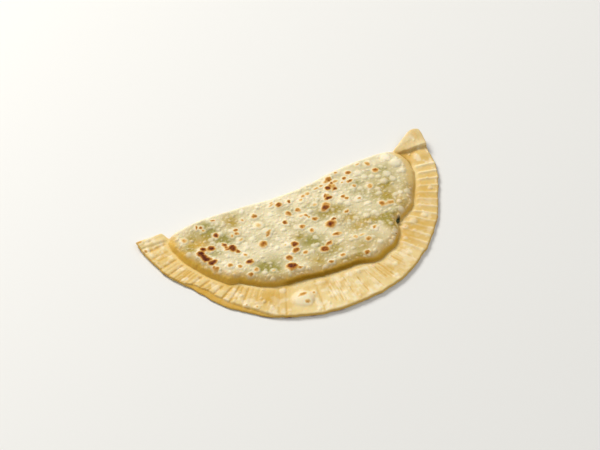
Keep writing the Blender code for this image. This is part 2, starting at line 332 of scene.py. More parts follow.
def row_bearings(row, upper):
    """Bearings along a row: close together at the two ends of the fold and on the ear."""
    typical = float(row_radius(row, np.array([90.0]))[0])
    on_border = row > INNER_ROWS + WALL_ROWS
    cell = BORDER_CELL if on_border else DOME_CELL
    if not upper:
        cell = RIM_CELL if row > LAST_ROW - RIM_ROWS else BOTTOM_CELL
    count = max(8, round(math.pi * typical / cell))
    even = np.linspace(0.0, 180.0, count + 1)
    if on_border and upper:
        ear_count = round(math.radians(180.0 - EAR_FROM) * typical / EAR_CELL)
        even = np.concatenate((even[even < EAR_FROM - 0.1], np.linspace(EAR_FROM, 180.0, ear_count + 1)))
    nose = np.degrees(np.array([step for step in NOSE_STEPS if step < typical * 0.6]) / typical)
    clear = nose[-1] * 1.12 if len(nose) else 0.0
    middle = even[(even > clear) & (even < 180.0 - clear)]
    return np.concatenate(([0.0], nose, middle, 180.0 - nose[::-1], [180.0]))


def loft_rows(faces, inner, inner_bearings, outer, outer_bearings, upper):
    """Fill the strip between two rows with triangles, stepping along whichever row lags."""
    i = 0
    j = 0
    while i < len(inner) - 1 or j < len(outer) - 1:
        inner_next = inner_bearings[i + 1] if i < len(inner) - 1 else math.inf
        outer_next = outer_bearings[j + 1] if j < len(outer) - 1 else math.inf
        at_shared_corner = not upper and i == 0 and j == 0 and len(inner) > 1
        if outer_next <= inner_next and not at_shared_corner:
            corners = (inner[i], outer[j], outer[j + 1])
            j += 1
        else:
            corners = (inner[i], outer[j], inner[i + 1])
            i += 1
        faces.append(corners if upper else corners[::-1])


def lay_out():
    """All points as radius, bearing and side (1 upper, 0 middle, -1 lower), and the triangles."""
    radius = [0.0]
    bearing = [90.0]
    side = [0]
    faces = []
    ends = {}
    rim = None
    for upper in (True, False):
        inner = [0]
        inner_bearings = [90.0]
        for row in range(1, LAST_ROW + 1):
            if row == LAST_ROW and not upper:
                outer, outer_bearings = rim
            else:
                outer_bearings = row_bearings(row, upper)
                first = len(radius)
                radii = row_radius(row, outer_bearings)
                outer = list(range(first, first + len(outer_bearings)))
                value = 0 if row == LAST_ROW else (1 if upper else -1)
                inside = slice(0, len(outer_bearings)) if upper else slice(1, -1)
                if not upper:
                    outer = [ends[row][0], *range(first, first + len(outer_bearings) - 2), ends[row][1]]
                radius.extend(radii[inside])
                bearing.extend(outer_bearings[inside])
                side.extend([value] * len(radii[inside]))
            loft_rows(faces, inner, inner_bearings, outer, outer_bearings, upper)
            if upper:
                ends[row] = (outer[0], outer[-1])
                rim = (outer, outer_bearings)
            inner = outer
            inner_bearings = outer_bearings
    return np.array(radius), np.array(bearing), np.array(side), faces


radius, bearing, side, faces = lay_out()
print("points", len(radius), "triangles", len(faces))

# %% [markdown]
# ## Scorch marks
# Where steam lifts the skin against the iron it browns first, so each scorch mark sits on a blister
# and has a pale, puffed ring around it. Each row gives the place of one mark, its two widths, the
# turn of its long side in degrees, and how far it is baked: 0.3 is golden, 0.6 brown, 1 nearly
# black.

# %% Scorch marks
SCORCHES = (
    # left end of the dome
    (-71.5, -27.3, 2.9, 3.6, 0, 0.9), (-74.4, -30.5, 4.2, 3.8, 20, 1.0), (-73.9, -33.8, 3.6, 3.8, 0, 0.95),
    (-73.4, -36.5, 4.6, 2.8, -15, 1.0), (-66.7, -28.3, 4.6, 3.6, 25, 0.9), (-71.2, -40.1, 5.0, 2.8, 12, 0.96),
    (-72.0, -44.0, 1.8, 1.8, 0, 0.7), (-71.5, -46.0, 3.2, 2.6, 0, 0.5), (-58.7, -19.2, 2.6, 3.4, 0, 0.85),
    (-57.7, -29.3, 2.4, 3.5, 0, 0.8), (-57.5, -32.3, 2.2, 2.0, 0, 0.6), (-54.2, -34.6, 4.2, 4.4, -30, 1.0),
    (-57.5, -34.2, 3.0, 1.5, -10, 0.75), (-52.4, -38.2, 2.4, 2.2, 0, 0.65), (-66.5, -7.3, 1.2, 3.0, -25, 0.6),
    (-64.0, -8.8, 1.6, 2.2, 0, 0.7), (-63.7, -11.8, 1.5, 1.6, 0, 0.5), (-54.7, -6.8, 2.7, 1.3, -10, 0.6),
    (-78.7, -14.3, 3.0, 3.5, 0, 0.42), (-45.5, -21.3, 2.0, 2.6, -30, 0.62), (-46.0, -24.6, 2.4, 1.8, 0, 0.55),
    (-49.7, -24.8, 1.6, 2.5, -25, 0.42), (-46.2, -30.3, 2.6, 1.6, 0, 0.3), (-49.5, -43.1, 2.1, 2.5, 0, 0.5),
    (-35.7, -40.5, 4.5, 3.8, 15, 0.6), (-62.4, -47.8, 3.0, 2.7, 0, 0.45), (-57.2, -51.3, 2.4, 2.2, 0, 0.45),
    (-50.0, -50.3, 4.2, 3.3, 25, 0.82), (-49.7, -58.3, 2.4, 3.0, -25, 0.45), (-54.5, -60.5, 2.5, 2.2, 0, 0.7),
    (-40.2, -64.1, 2.2, 1.4, 0, 0.35), (-37.4, -15.0, 1.5, 2.0, 0, 0.4),
    # middle
    (-28.9, -15.3, 3.2, 3.0, 0, 0.6), (-14.2, -10.8, 2.0, 1.2, 0, 0.3), (-14.7, -12.4, 4.0, 1.2, 10, 0.3),
    (-10.4, -14.2, 3.3, 2.6, 15, 0.72), (-3.3, -14.8, 2.0, 2.0, 0, 0.8), (-8.5, -23.8, 2.4, 3.4, 0, 0.52),
    (-1.4, -23.8, 2.8, 2.8, 0, 0.56), (-30.7, -24.3, 3.6, 4.2, 0, 0.24), (-27.7, -33.4, 4.6, 1.9, 32, 0.4),
    (-29.4, -35.5, 2.6, 1.0, 20, 0.5), (-13.9, -30.0, 2.8, 2.4, 20, 0.66), (-6.4, -38.3, 3.0, 2.6, 0, 0.6),
    (-2.4, -29.8, 2.0, 1.5, 0, 0.3), (0.5, -31.2, 1.5, 3.0, 30, 0.55), (1.8, -33.4, 1.5, 1.5, 0, 0.4),
    (4.6, -36.3, 3.3, 2.0, -10, 0.6), (-2.4, -44.3, 2.3, 3.4, -35, 0.5), (14.8, -31.4, 5.6, 3.2, 12, 0.86),
    (16.3, -29.2, 4.6, 3.6, 0, 0.42), (10.8, -45.1, 4.6, 4.4, -35, 0.88), (14.6, -42.5, 2.2, 2.2, 0, 0.9),
    (13.3, -45.4, 3.0, 3.0, 0, 0.42), (10.1, -54.6, 5.0, 2.3, -5, 0.55), (-18.0, -50.3, 3.8, 3.6, 0, 0.9),
    (-19.7, -55.3, 3.8, 2.8, 15, 0.76), (-26.7, -59.3, 3.6, 3.3, 20, 0.65), (-28.8, -67.2, 5.4, 5.0, 0, 1.0),
    (-25.2, -70.4, 3.2, 1.9, 0, 0.55), (-15.1, -59.8, 2.5, 2.5, 30, 0.55), (-3.7, -63.3, 4.7, 3.6, -10, 0.86),
    (1.5, -60.1, 4.8, 2.3, 12, 0.65), (-4.9, -74.8, 2.6, 1.6, 0, 0.65), (4.0, -73.5, 2.8, 2.4, 20, 0.5),
    (7.1, -14.8, 2.6, 2.0, 20, 0.42), (10.8, -14.1, 3.2, 2.4, 20, 0.42), (4.3, -17.3, 2.4, 2.0, 30, 0.28),
    (-23.7, -48.1, 2.0, 1.2, 0, 0.22), (10.1, -25.3, 2.5, 2.2, 0, 0.3),
    # right end
    (29.3, -8.8, 3.4, 2.8, 30, 0.72), (26.3, -10.0, 2.4, 1.8, 0, 0.42), (29.8, -12.8, 2.0, 2.0, 0, 0.7),
    (32.8, -12.5, 3.0, 2.0, 0, 0.4), (25.0, -16.1, 3.0, 3.3, 0, 1.0), (27.6, -14.8, 2.0, 1.8, 0, 0.55),
    (28.8, -18.6, 3.2, 2.2, 20, 0.8), (28.3, -15.8, 5.0, 5.0, 0, 0.38), (20.1, -21.0, 1.2, 3.0, -32, 0.8),
    (21.1, -24.0, 4.3, 2.4, 0, 0.9), (21.3, -21.8, 3.4, 3.0, 0, 0.4), (30.3, -27.1, 2.6, 2.0, 0, 0.6),
    (31.9, -29.3, 2.0, 2.0, 0, 0.6), (25.6, -40.5, 3.3, 2.0, 20, 0.6), (38.5, -33.8, 2.3, 1.4, 15, 0.5),
    (37.0, -6.0, 2.0, 1.5, 0, 0.5), (39.3, -13.1, 2.2, 2.2, 0, 0.75), (41.3, -17.0, 3.5, 2.0, 0, 0.7),
    (36.3, -15.8, 1.5, 1.4, 0, 0.36), (44.0, -9.6, 2.8, 2.8, 0, 0.7), (41.6, -22.1, 2.0, 1.7, 0, 0.5),
    (53.6, -5.8, 2.6, 1.1, 10, 0.36), (59.6, -8.3, 2.5, 2.8, 0, 0.5), (61.1, -16.0, 2.7, 3.1, -10, 0.65),
    (50.6, -27.3, 3.5, 2.8, 20, 0.4), (49.1, -45.3, 2.9, 3.8, 0, 0.5), (54.5, -47.1, 3.6, 2.6, 0, 0.5),
    (51.5, -47.2, 3.0, 2.4, 0, 0.26), (19.1, -63.3, 2.2, 2.4, 0, 0.33), (23.8, -64.3, 3.2, 1.5, -10, 0.3),
    (25.5, -68.8, 3.3, 2.5, 15, 0.45), (33.9, -61.8, 3.2, 1.9, 25, 0.5), (19.0, -78.4, 2.8, 2.4, 0, 0.6),
    (18.1, -12.5, 2.6, 1.6, 0, 0.45), (22.5, -12.0, 2.2, 1.6, 0, 0.45),
    # border and flap
    (-32.9, -88.0, 5.0, 2.2, 6, 0.5), (-32.4, -94.5, 2.4, 2.4, 0, 0.5), (-25.4, -89.0, 1.4, 1.4, 0, 0.5),
    (-103.2, 0.2, 3.3, 2.2, 0, 0.36), (-102.3, -7.9, 1.8, 1.8, 0, 0.34), (-66.9, -78.5, 1.2, 1.0, 0, 0.4),
    (-61.9, -83.0, 1.4, 1.0, 0, 0.4), (54.0, -67.2, 1.4, 0.9, 0, 0.5), (44.8, -71.3, 1.3, 0.5, 40, 0.8),
)
SCORCH_EDGE = 0.7
SCORCH_SPREAD = 1.14
PUFF_MARGIN = 3.4
PUFF_LEAST = 0.45
PUFF_GROWTH = 0.1


def in_ellipse(x, y, centre_x, centre_y, width, height, turn):
    """Distance from a centre, in half widths of a turned ellipse."""
    cosine = math.cos(math.radians(turn))
    sine = math.sin(math.radians(turn))
    dx = x - centre_x
    dy = y - centre_y
    along = (dx * cosine + dy * sine) / (width / 2.0)
    across = (dy * cosine - dx * sine) / (height / 2.0)
    return np.hypot(along, across)


def scorch_fields(x, y):
    """Browning of the skin, the pale ring around each mark, and the puff that lifts it."""
    warp_x = x + 0.85 * rough_hills(x, y, 2.0, 31)
    warp_y = y + 0.85 * rough_hills(x, y, 2.0, 47)
    brown = np.zeros_like(x)
    ring = np.zeros_like(x)
    puff = np.zeros_like(x)
    mottle = 0.45 * rough_hills(x, y, 1.3, 53)
    for centre_x, centre_y, width, height, turn, tone in SCORCHES:
        reach = max(width, height) / 2.0 + 4.0
        near = np.flatnonzero((np.abs(x - centre_x) < reach) & (np.abs(y - centre_y) < reach))
        if not len(near):
            continue
        size = math.sqrt(width * height)
        spread = (width * SCORCH_SPREAD, height * SCORCH_SPREAD)
        place = in_ellipse(warp_x[near], warp_y[near], centre_x, centre_y, *spread, turn)
        core = 1.0 - smooth(place, 1.0 - SCORCH_EDGE, 1.0 + SCORCH_EDGE)
        brown[near] = np.maximum(brown[near], tone * core * (1.0 + mottle[near]))
        wide = in_ellipse(x[near], y[near], centre_x, centre_y, width + PUFF_MARGIN, height + PUFF_MARGIN, turn)
        ring[near] = np.maximum(ring[near], (1.0 - smooth(wide, 0.55, 1.2)) * min(1.0, 0.5 + 0.6 * tone))
        dome = np.sqrt(np.clip(1.0 - wide * wide, 0.0, 1.0))
        dip = 0.18 * tone * (1.0 - smooth(place, 0.5, 1.1))
        puff[near] = np.maximum(puff[near], (PUFF_LEAST + PUFF_GROWTH * size) * dome - dip)
    return brown, ring, puff


# %% [markdown]
# ## Blisters
# Between the scorch marks the skin is full of pale bubbles. The largest have a place of their own in
# a list. The smaller ones, down to half a millimetre, are scattered: they crowd in some places and
# leave others almost smooth. Each is a low dome with a sharp foot. Bubbles that meet keep a crease
# between them, so heights are joined by taking the larger one and not by adding.

# %% Blisters
BLISTERS = (
    # x, y and width of the largest blisters, to the nearest millimetre
    (76, -17, 8), (77, -25, 5), (73, -9, 7), (66, -23, 6), (61, -28, 6), (67, -29, 5), (54, -32, 4), (52, -18, 5),
    (60, -22, 4), (50, -13, 6), (65, -42, 4), (70, -43, 5), (67, -53, 4), (58, -55, 5), (44, -26, 4), (39, -33, 6),
    (30, -34, 5), (41, -40, 4), (23, -48, 3), (28, -48, 4), (35, -50, 5), (41, -50, 5), (45, -70, 5), (31, -74, 4),
    (38, -77, 4), (11, -24, 4), (-19, -19, 4), (-8, -57, 4), (-3, -52, 3), (-25, -41, 4), (-22, -47, 3),
    (-28, -32, 8), (-30, -24, 8), (-45, -35, 4), (-63, -32, 3), (-41, -63, 3), (-46, -63, 4), (-39, -57, 3),
    (-50, -13, 3), (-60, -27, 4), (-63, -21, 4),
)
BLISTER_RISE = 0.24
BORDER_BLISTERS = (
    # bearing, radius, length along the border, width across it, rise
    (69.5, 96.0, 15.0, 13.0, 1.3), (133.2, 89.3, 5.5, 6.0, 0.7), (137.7, 95.0, 4.0, 5.0, 0.6),
    (128.6, 92.5, 3.0, 3.0, 0.4), (123.0, 90.0, 3.0, 4.0, 0.3), (84.5, 91.0, 4.0, 6.0, 0.4),
    (80.5, 97.5, 6.0, 4.0, 0.4), (85.5, 98.0, 4.0, 3.0, 0.4), (88.0, 93.0, 4.0, 5.0, 0.3),
    (78.0, 85.0, 9.0, 3.0, 0.35), (102.0, 88.0, 3.0, 5.0, 0.4), (109.0, 97.0, 4.0, 4.0, 0.4),
    (116.8, 98.0, 4.0, 4.0, 0.35), (116.5, 88.5, 4.0, 3.0, 0.3), (58.6, 103.5, 3.0, 3.0, 0.4),
    (62.0, 88.0, 5.0, 6.0, 0.4), (45.0, 101.0, 3.0, 3.0, 0.3), (3.8, 101.0, 4.0, 3.0, 0.4),
    (7.0, 101.5, 5.0, 3.0, 0.35), (97.5, 99.0, 3.6, 8.0, 0.35), (105.0, 104.0, 4.0, 3.0, 0.3),
)
PALE_BLISTER = (-33.6, -89.9, 16.0, 14.0)  # place and widths of the one large blister on the border
BUBBLE_KINDS = (
    # darts, spacing, least and most radius, height for its radius, share kept, seed
    (1500, 6.0, 1.5, 2.5, 0.42, 0.75, 5),
    (5000, 2.8, 0.85, 1.5, 0.56, 0.9, 6),
    (15000, 1.6, 0.42, 0.8, 0.62, 0.85, 7),
)
CROWD_SIZE = 14.0
BORDER_SHARE = 0.12


def bubble_list():
    """Place, half length, half width, height and turn of every blister."""
    rows = []
    for centre_x, centre_y, width in BLISTERS:
        rows.append((centre_x, centre_y, width / 2.0, width / 2.0, BLISTER_RISE * width**0.75, 0.0))
    for at, out, length, width, rise in BORDER_BLISTERS:
        centre_x = -out * math.cos(math.radians(at))
        centre_y = -out * math.sin(math.radians(at))
        rows.append((centre_x, centre_y, length / 2.0, width / 2.0, rise, at - 90.0))
    for darts, spacing, least, most, steep, share, seed in BUBBLE_KINDS:
        places = scatter(darts, spacing, seed)
        draw = np.random.default_rng(seed + 100)
        size = draw.uniform(least, most, len(places)) * draw.uniform(0.75, 1.0, len(places))
        crowd = 0.5 + 0.5 * rough_hills(places[:, 0], places[:, 1], CROWD_SIZE, 61, 2)
        keep = draw.uniform(0.0, 1.0, len(places)) < share * (0.35 + 1.1 * crowd)
        at = np.degrees(np.arctan2(-places[:, 1], -places[:, 0]))
        pressed = np.hypot(places[:, 0], places[:, 1]) > foot_radius(at)
        keep &= ~pressed | (draw.uniform(0.0, 1.0, len(places)) < BORDER_SHARE)
        height = steep * size * draw.uniform(0.5, 1.1, len(places))
        stretch = draw.uniform(0.8, 1.25, len(places))
        turn = draw.uniform(0.0, 180.0, len(places))
        rows.extend(np.column_stack((places, size * stretch, size / stretch, height, turn))[keep])
    return np.array(rows)


def bubble_fields(x, y, bubbles):
    """Height of the bubbled skin and how far each point is up on a bubble."""
    height = np.zeros_like(x)
    top = np.zeros_like(x)
    order = np.argsort(x)
    sorted_x = x[order]
    for centre_x, centre_y, half_length, half_width, rise, turn in bubbles:
        reach = max(half_length, half_width)
        first, last = np.searchsorted(sorted_x, (centre_x - reach, centre_x + reach))
        near = order[first:last]
        near = near[np.abs(y[near] - centre_y) < reach]
        if not len(near):
            continue
        place = in_ellipse(x[near], y[near], centre_x, centre_y, 2.0 * half_length, 2.0 * half_width, turn)
        dome = np.sqrt(np.clip(1.0 - place * place, 0.0, 1.0))
        height[near] = np.maximum(height[near], rise * dome)
        top[near] = np.maximum(top[near], dome * min(0.75, 0.14 + 0.3 * reach))
    return height, top


bubbles = bubble_list()
print("blisters", len(bubbles))

# %% [markdown]
# ## Fork marks
# The border was pressed shut with a fork. At the left its tines were pushed in again and again, so
# narrow grooves stand between broad bands. At the right each press shows cleanly: a broad channel
# for each tine, and a narrow crest between two. At the front the marks are short and overlap.

# %% Fork marks
GROOVES = (
    # bearing and depth of each groove at the left
    (2.2, 0.5), (5.9, 1.0), (9.3, 0.4), (11.1, 0.4), (14.6, 0.9), (16.6, 0.3), (18.6, 1.1), (21.1, 0.5),
    (22.2, 0.4), (23.2, 0.8), (24.6, 0.5), (26.1, 0.45), (28.2, 1.0), (31.7, 0.9), (33.9, 0.5), (35.0, 0.6),
    (37.8, 1.0), (41.3, 1.1), (44.0, 0.9), (45.6, 0.5), (48.2, 0.7), (50.2, 0.4), (52.6, 0.5), (58.6, 0.4),
    (60.8, 0.4), (63.4, 0.5), (76.0, 0.4),
)
GROOVE_DEPTH = 0.8
GROOVE_HALF = 0.7
GROOVE_SLANT = -1.7
SLANT_BEARING = 36.0
SLANT_SPAN = 8.0
CREST_FIRST = 120.4
CREST_SPACING = 3.77
CREST_COUNT = 13
CREST_HEIGHT = 0.85
CREST_HALF = 1.0
LINE_FROM = 80.0
LINE_TO = 121.0
LINE_DEPTH = 0.95
LINE_HALF = 0.42
LINE_SEED = 17


def tine(radius, bearing, centre, slant, half):
    """How near a point is to the line of one tine: 1 on it, 0 away from it."""
    middle = centre + slant * (radius - 94.0) / 10.0
    return np.exp(-((radius * np.radians(bearing - middle) / half) ** 2))


def fork_marks(radius, bearing):
    """Relief of the fork's marks: grooves below zero, crests above."""
    relief = np.zeros_like(radius)
    for centre, depth in GROOVES:
        slant = GROOVE_SLANT * math.exp(-(((centre - SLANT_BEARING) / SLANT_SPAN) ** 2))
        narrow = tine(radius, bearing, centre, slant, GROOVE_HALF)
        wide = tine(radius, bearing, centre, slant, 3.0 * GROOVE_HALF)
        relief -= GROOVE_DEPTH * depth * (0.7 * narrow + 0.3 * wide)
    for number in range(CREST_COUNT):
        centre = CREST_FIRST + CREST_SPACING * number
        relief += CREST_HEIGHT * tine(radius, bearing, centre, 0.0, CREST_HALF)
    relief -= 0.3 * CREST_HEIGHT * smooth(bearing, CREST_FIRST - 3.0, CREST_FIRST + 1.0)
    draw = np.random.default_rng(LINE_SEED)
    centre = LINE_FROM
    while centre < LINE_TO:
        start = draw.uniform(83.0, 92.0)
        stop = draw.uniform(98.0, 108.0)
        held = smooth(radius, start, start + 1.5) * (1.0 - smooth(radius, stop, stop + 1.5))
        depth = LINE_DEPTH * draw.uniform(-0.5, 1.0)
        relief -= depth * tine(radius, bearing, centre, draw.uniform(-0.3, 0.3), LINE_HALF) * held
        centre += draw.uniform(0.8, 1.9)
    return relief


# %% [markdown]
# ## Zones of the skin
# The filling colours the skin from below: where the skin lies close on the greens it looks
# grey-green, where it soaked up oil it turns golden and clearer, and where it is puffed it is dry
# and pale. One golden zone, under the ear, is painted shade in the hollow there. The zones are
# soft ellipses, roughened with noise.

# %% Zones
ZONES = (
    # x, y, length, width, green, oil (one zone: painted shade)
    (-78.7, -21.8, 8.0, 8.0, 0.95, 0.0), (-71.7, -20.8, 17.0, 11.0, 0.15, 1.0), (-72.7, -12.8, 18.0, 11.0, 0.45, 0.25),
    (-59.7, -13.8, 18.0, 18.0, 0.6, 0.0), (-55.7, -24.8, 13.0, 11.0, 0.5, 0.0), (-44.7, -12.8, 11.0, 13.0, 0.4, 0.45),
    (-40.7, -61.8, 22.0, 16.0, 0.7, 0.0), (-54.7, -59.8, 9.0, 7.0, 0.35, 0.0), (-64.7, -33.3, 9.0, 7.0, 0.45, 0.0),
    (-12.7, -70.8, 13.0, 11.0, 0.35, 0.5), (-7.7, -51.8, 18.0, 13.0, 0.5, 0.0), (-12.7, -44.8, 11.0, 7.0, 0.4, 0.3),
    (-9.7, -33.8, 11.0, 9.0, 0.3, 0.1), (17.3, -34.8, 18.0, 9.0, 0.5, 0.4), (24.3, -45.8, 14.0, 11.0, 0.4, 0.5),
    (32.3, -54.8, 26.0, 9.0, 0.3, 0.55), (42.3, -25.8, 13.0, 13.0, 0.45, 0.0), (58.3, -37.8, 18.0, 26.0, 0.65, 0.4),
    (62.3, -49.8, 13.0, 18.0, 0.35, 0.6), (44.3, -56.8, 18.0, 7.0, 0.7, 0.0), (46.3, -62.8, 8.0, 9.0, 0.9, 0.0),
    (64.3, -17.8, 11.0, 13.0, 0.4, 0.0), (-0.7, -60.8, 15.0, 9.0, 0.4, 0.0), (2.3, -22.8, 24.0, 9.0, 0.25, 0.0),
    (-52.0, -80.0, 27.0, 17.0, 0.0, 1.0), (60.0, -71.0, 38.0, 22.0, 0.0, 0.85), (80.0, -47.0, 24.0, 30.0, 0.0, 0.8),
    (53.0, -75.0, 24.0, 14.0, 0.0, 1.0),
    (8.0, -78.0, 26.0, 5.0, 0.5, 0.2), (-66.0, -56.0, 16.0, 8.0, 0.0, 0.8), (-38.0, -68.0, 10.0, 6.0, 0.2, 0.2),
    # the last zone of this row lies under the ear: painted shade in the hollow there, not oil
    (95.0, -4.0, 16.0, 8.0, 0.0, 0.35), (103.0, 0.0, 9.0, 12.0, 0.0, 0.6), (89.5, -11.0, 7.0, 14.0, 0.0, 1.0),
    (-13.8, -86.9, 9.0, 8.0, 0.0, 0.9), (-40.0, -76.0, 16.0, 5.0, 0.0, 0.8), (30.0, -94.0, 30.0, 14.0, 0.0, 0.7),
    (0.0, -66.0, 30.0, 12.0, 0.45, 0.3), (22.0, -72.0, 24.0, 12.0, 0.35, 0.4),
)


def zone_fields(x, y):
    """Greenness of the skin, and its oil with painted shade under the ear."""
    warp_x = x + 2.2 * rough_hills(x, y, 7.0, 91)
    warp_y = y + 2.2 * rough_hills(x, y, 7.0, 95)
    green = np.zeros_like(x)
    oil_and_painted_light = np.zeros_like(x)
    for centre_x, centre_y, length, width, is_green, oil_and_painted_light_share in ZONES:
        amount = np.exp(-(in_ellipse(warp_x, warp_y, centre_x, centre_y, length, width, 0.0) ** 2))
        green = np.maximum(green, is_green * amount)
        oil_and_painted_light = np.maximum(oil_and_painted_light, oil_and_painted_light_share * amount)
    patchy = rough_hills(x, y, 5.0, 97)
    green = np.clip(green * (1.35 + 1.0 * patchy) + 0.17 + 0.35 * rough_hills(x, y, 9.0, 99), 0.0, 1.0)
    return green, np.clip(oil_and_painted_light * (1.0 + 0.3 * patchy), 0.0, 1.0)


# %% [markdown]
# ## The form of the dough
# Each point gets a height for the upper and the lower skin. The dome stands about seven millimetres
# high. Its foot is a short steep step, highest at the front, and above it the skin rounds gently
# inward. The border is two layers pressed to about two and a half millimetres, the upper one a
# little shorter at the left, so its edge shows as a ledge. The rim lifts off the table, and the ear
# is an arched, hollow fan whose front edge leans over.

# %% Heights of the two skins
BORDER_THICK = 2.4
FOOT_DIP = 0.7
FOOT_DIP_REACH = 2.5
POCKET_HEIGHT = 7.2
DOME_CROWN = 1.0
SKIN_LET_DOWN = 0.35
STEP_MARKS = (
    # bearing, share of the dome's height that rises steeply
    (0.0, 0.25), (10.0, 0.3), (40.0, 0.32), (45.0, 0.36), (62.5, 0.34), (64.5, 0.52), (98.0, 0.48),
    (106.0, 0.4), (120.0, 0.36), (126.0, 0.3), (134.0, 0.35), (145.0, 0.22), (158.0, 0.15), (180.0, 0.25),
)
STEP_WIDTHS = ((0.0, 2.6), (40.0, 2.6), (46.0, 1.8), (100.0, 1.4), (180.0, 2.0))
ROLL_WIDTHS = (7.0, 6.0, 5.5, 5.5, 6.0, 6.0, 6.0, 6.0, 6.5, 7.0, 8.0, 9.0, 9.0)
RIM_ROUND = 1.1
RIM_LIFTS = (0.9, 0.8, 0.7, 0.6, 0.6, 0.6, 0.7, 0.6, 0.4, 0.3, 0.4, 0.7, 0.9)
LIFT_BELOW = 0.3
MARKS_START = 1.0
MARKS_RUN = 2.5
LEDGE_WIDTHS = (
    # bearing, width of the lower layer that shows beyond the upper one
    (24.0, 0.2), (28.0, 2.6), (36.0, 4.0), (43.0, 3.6), (50.0, 2.6), (57.0, 1.6), (63.0, 0.4), (115.0, 0.2),
)
LEDGE_DROP = 1.3
CALM_FROM = 152.0
EDGE_GLOW = 0.8
TEAR_SHOWN = (131.3, 80.0)  # bearing and radius of the open part of the tear
TEAR_OPEN = (5.4, 2.1)
TEAR_FLOOR = 2.0
EAR_APEX = (81.0, -4.2)
EAR_LENGTH = 25.0
EAR_TURN = 0.09
EAR_SPREAD = 0.26
EAR_NECK = 0.8
EAR_RISE = 5.2
EAR_STEP_SHARE = 0.6
EAR_STEP_WIDTH = 1.2
EAR_HOLLOW_FROM = 5.0
EAR_LEAN = 1.0
EAR_LINE_SPACING = 2.4
EAR_LINE_HEIGHT = 0.13
SWELLINGS = (
    (-77.5, -30.0, 13.0, 17.0, 0.9), (-29.5, -69.5, 12.0, 10.0, 1.1), (24.0, -65.5, 20.0, 13.0, 0.9),
    (-30.0, -31.5, 9.0, 8.0, 0.6), (51.5, -45.0, 13.0, 9.0, 0.7), (14.5, -30.0, 9.0, 8.0, 0.8),
    (25.0, -17.0, 9.0, 8.0, 0.6), (-57.0, -35.0, 9.0, 9.0, 0.6), (-9.5, -60.0, 9.0, 7.0, 0.5),
    (11.0, -45.0, 12.0, 8.0, 0.5), (76.0, -16.0, 8.0, 9.0, 0.6), (46.0, -71.0, 8.0, 7.0, -0.5),
    (61.0, -38.0, 9.0, 13.0, -0.6), (-71.0, -20.0, 9.0, 7.0, -0.6), (-36.0, -16.0, 26.0, 9.0, -0.4),
    (-31.5, -90.0, 12.0, 9.0, 0.9), (97.0, -14.0, 12.0, 10.0, 0.9), (62.0, -64.5, 7.0, 5.0, 0.6),
    (91.5, -10.0, 8.0, 9.0, -0.8), (5.0, -86.0, 15.0, 8.0, 0.6), (-43.0, -68.0, 7.0, 6.0, 0.7),
)
UNDULATION = 0.35
UNDULATION_LENGTHS = (38.0, 27.0, 19.0)
UNDULATION_SEED = 11


def swellings(x, y):
    """Sum of the named swells and hollows of the skin."""
    total = np.zeros_like(x)
    for centre_x, centre_y, length, width, height in SWELLINGS:
        far = ((x - centre_x) / (length / 2.0)) ** 2 + ((y - centre_y) / (width / 2.0)) ** 2
        total += height * np.exp(-far)
    return total


def undulation(x, y):
    """Slow waves of the filled pocket, from a few seeded directions."""
    draw = np.random.default_rng(UNDULATION_SEED)
    total = np.zeros_like(x)
    for length in UNDULATION_LENGTHS:
        for turn, shift in draw.uniform(0.0, 2.0 * np.pi, (2, 2)):
            run = x * math.cos(turn) + y * math.sin(turn)
            total += np.sin(2.0 * np.pi * run / length + shift)
    return UNDULATION * total / len(UNDULATION_LENGTHS)


def ear_arch(x, y):
    """Height of the pinched ear, and how far its front edge leans over."""
    along = np.clip(x - EAR_APEX[0], 0.0, EAR_LENGTH)
    across = y - EAR_APEX[1] - EAR_TURN * along
    width = EAR_NECK + EAR_SPREAD * along
    place = across / width
    from_edge = (place + 1.0) * width
    step = round_edge(from_edge, EAR_STEP_WIDTH)
    front = EAR_STEP_SHARE * step + (1.0 - EAR_STEP_SHARE) * smooth(place, -1.0, 1.2)
    size = smooth(along, -9.0, EAR_LENGTH)
    lines = EAR_LINE_HEIGHT * np.sin(2.0 * np.pi * np.hypot(x, y) / EAR_LINE_SPACING)
    lean = EAR_LEAN * step * (1.0 - smooth(from_edge, 0.9, 4.5)) * smooth(along, 1.0, 12.0)
    return EAR_RISE * size * front + lines * step * smooth(along, 3.0, 9.0), lean


